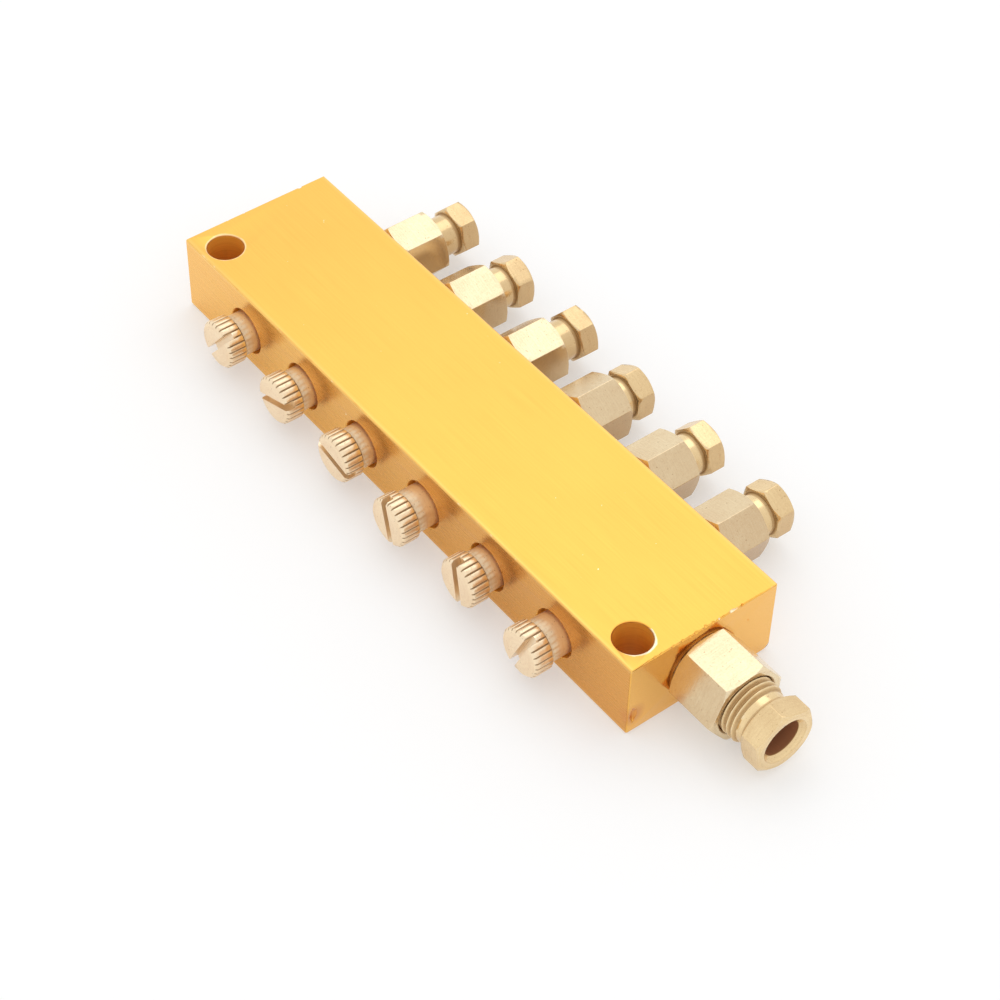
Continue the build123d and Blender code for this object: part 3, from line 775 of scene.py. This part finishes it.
# lumpy balls that bite the marks out of the block, each with the finish that it leaves
def markCutter():
    lumps = blockMarks["lumps"]
    balls = bmesh.new()
    for kind, marks in enumerate((blockMarks["dents"] + fineBites(), blockMarks["chips"])):
        for index, (place, size) in enumerate(marks):
            shape = Matrix.Translation(Vector(place) * mm) @ Matrix.Diagonal(Vector(size) * mm).to_4x4()
            made = bmesh.ops.create_icosphere(balls, subdivisions=3, radius=1.0)["verts"]
            for vert in made:
                shift = Vector((index * lumps["step"], kind, 0))
                vert.co *= 1 + lumps["height"] * noise.noise(vert.co * lumps["scale"] + shift)
                vert.co = shape @ vert.co
            for face in {face for vert in made for face in vert.link_faces}:
                face.material_index = kind
    mesh = bpy.data.meshes.new("chip_cutter")
    balls.to_mesh(mesh)
    balls.free()
    for finish in (anodised, bareMetalAndRimHighlight):
        mesh.materials.append(finish)
    cutter = bpy.data.objects.new("chip_cutter", mesh)
    bpy.context.collection.objects.link(cutter)
    return cutter


# in mm, how far from a hole or a screw mouth a face can lie and still be its rim or its wall
drilledLook = dict(rimReach=0.3, rimTilt=(0.5, 0.9), lit=0.2, wallReach=0.05, wallTilt=0.1, mouth=4.1,
                   mouthDepth=(0.01, 1.9))


# which of the block's finishes a face has: 0 anodised, 1 a hole's bare rim, kept to the near hole's side that
# faces the light as a painted highlight, 2 a drilled wall
def faceFinish(centre, steepness, screwAxes):
    h, d = mountingHole, drilledLook
    holes = [Vector((h["middle"] + side * h["aside"], h["y"])) * mm for side in (-1, 1)]
    hole = min(holes, key=lambda hole: (centre.xy - hole).length)
    offset = (centre.xy - hole).length / mm
    facing = (centre.xy - hole).normalized().dot(h["glint"])
    lit = hole.x > 0 and centre.z > portHeight and facing > d["lit"]
    fromScrew = min(math.hypot(centre.x - axis, centre.z - portHeight) for axis in screwAxes) / mm
    intoSide = (centre.y - blockLow.y) / mm
    if offset < h["radius"] + d["rimReach"] and d["rimTilt"][0] < steepness < d["rimTilt"][1] and lit:
        return 1
    wall = offset < h["radius"] + d["wallReach"] and steepness < d["wallTilt"]
    mouth = fromScrew < d["mouth"] and d["mouthDepth"][0] < intoSide < d["mouthDepth"][1]
    return 2 if wall or mouth else 0


def makeBlock():
    block = bpy.data.objects.new("block_drilled", bpy.data.objects["manifold_body"].data.copy())
    bpy.context.collection.objects.link(block)
    work = bmesh.new()
    work.from_mesh(block.data)
    bmesh.ops.remove_doubles(work, verts=work.verts, dist=edgeLook["blockWeld"] * mm)
    work.to_mesh(block.data)
    work.free()
    block.data.materials.clear()
    for finish in (anodised, bareMetalAndRimHighlight, drilledWall):
        block.data.materials.append(finish)
    screwAxes = [axisX(f"adjusting_screw_{number}") for number in outlets]
    for polygon in block.data.polygons:
        polygon.material_index = faceFinish(polygon.center, abs(polygon.normal.z), screwAxes)
    cutOut(block, markCutter())
    steadyNormals(block)
    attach(block, "manifold")
    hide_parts("manifold_body")


makeBlock()

# ferrules and rings keep their solids and take their finish
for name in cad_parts:
    if "ferrule" in name or "seal" in name:
        holder = bpy.data.objects[name]
        finish = rubber if "seal" in name else nutBrass
        for place in holder.material_slots:
            place.material = finish
        if not holder.material_slots:
            holder.data.materials.append(finish)
print("block, ferrules and rings dressed")

# the photograph's camera, fitted to the block's edges and holes: places in mm, roll in degrees, clipping
# distances in metres
cameraLook = dict(place=(221.66, -170.56, 288.00), aim=(14.85, -4.15, 7.0), roll=1.602, lens=91.71, sensor=36,
                  clip=(0.01, 20))
camera = bpy.data.objects.new("camera", bpy.data.cameras.new("camera"))
bpy.context.collection.objects.link(camera)
camera.location = Vector(cameraLook["place"]) * mm
gaze = Vector(cameraLook["aim"]) * mm - camera.location
roll = Quaternion((0, 0, 1), math.radians(cameraLook["roll"]))
camera.rotation_mode = "QUATERNION"
camera.rotation_quaternion = gaze.to_track_quat("-Z", "Y") @ roll
camera.data.lens = cameraLook["lens"]
camera.data.sensor_width = cameraLook["sensor"]
camera.data.clip_start, camera.data.clip_end = cameraLook["clip"]
bpy.context.scene.camera = camera

# one soft box over the table in a white room: place and size in metres, how bright box and room look beside
# plain white, and how much of the paper's brightness is its own
studio = dict(room=0.97, boxPlace=(-0.17, 0.27, 0.56), boxSize=(0.62, 0.42), box=0.65, floorGlow=0.35)
lamp = bpy.data.lights.new("key_soft_box", "AREA")
lamp.shape = "RECTANGLE"
lamp.size, lamp.size_y = studio["boxSize"]
lamp.energy = studio["box"] * math.pi * lamp.size * lamp.size_y
softBox = bpy.data.objects.new("key_soft_box", lamp)
softBox.location = studio["boxPlace"]
softBox.rotation_mode = "QUATERNION"
softBox.rotation_quaternion = (Vector((0, 0, portHeight)) - softBox.location).to_track_quat("-Z", "Y")
bpy.context.collection.objects.link(softBox)


# 1 for rays that show the picture or a mirror image of it
def seenDirectly(tree):
    rays = add(tree, "LightPath").outputs
    seen = calc(tree, "MAXIMUM", rays["Is Camera Ray"], rays["Is Glossy Ray"])
    return calc(tree, "MAXIMUM", seen, rays["Is Transmission Ray"])


world = bpy.data.worlds.new("white_room")
bpy.context.scene.world = world
world.use_nodes = True
tree = world.node_tree
strength = ramp(tree, seenDirectly(tree), 0.0, 1.0, studio["room"], 1.0)
feed(tree, tree.nodes["Background"], {"Color": (1, 1, 1, 1), "Strength": strength})

# a wide sheet of white paper that glows a little where it is seen, so that the shadows on it stay pale
paperLook = dict(size=6, squares=8, colour="#FCFCFC", roughness=0.9, specular=0.1)
bpy.ops.mesh.primitive_grid_add(x_subdivisions=paperLook["squares"], y_subdivisions=paperLook["squares"],
                                size=paperLook["size"], location=(0, 0, cadBox[0].z))
paper = bpy.context.object
paper.name = "paper_floor"
paperMaterial, tree, shader = startMaterial("matt_white_paper")
feed(tree, shader, {"Base Color": linear(paperLook["colour"]), "Roughness": paperLook["roughness"],
                    "Specular IOR Level": paperLook["specular"]})
glow = add(tree, "Emission", {"Color": (1, 1, 1, 1)})
share = calc(tree, "MULTIPLY", seenDirectly(tree), studio["floorGlow"])
both = add(tree, "MixShader", {0: share, 1: shader.outputs["BSDF"], 2: glow.outputs["Emission"]})
tree.links.new(both.outputs["Shader"], tree.nodes["Material Output"].inputs["Surface"])
paper.data.materials.append(paperMaterial)
bpy.context.scene.view_settings.view_transform = "Standard"
print("camera, lamps and floor set")
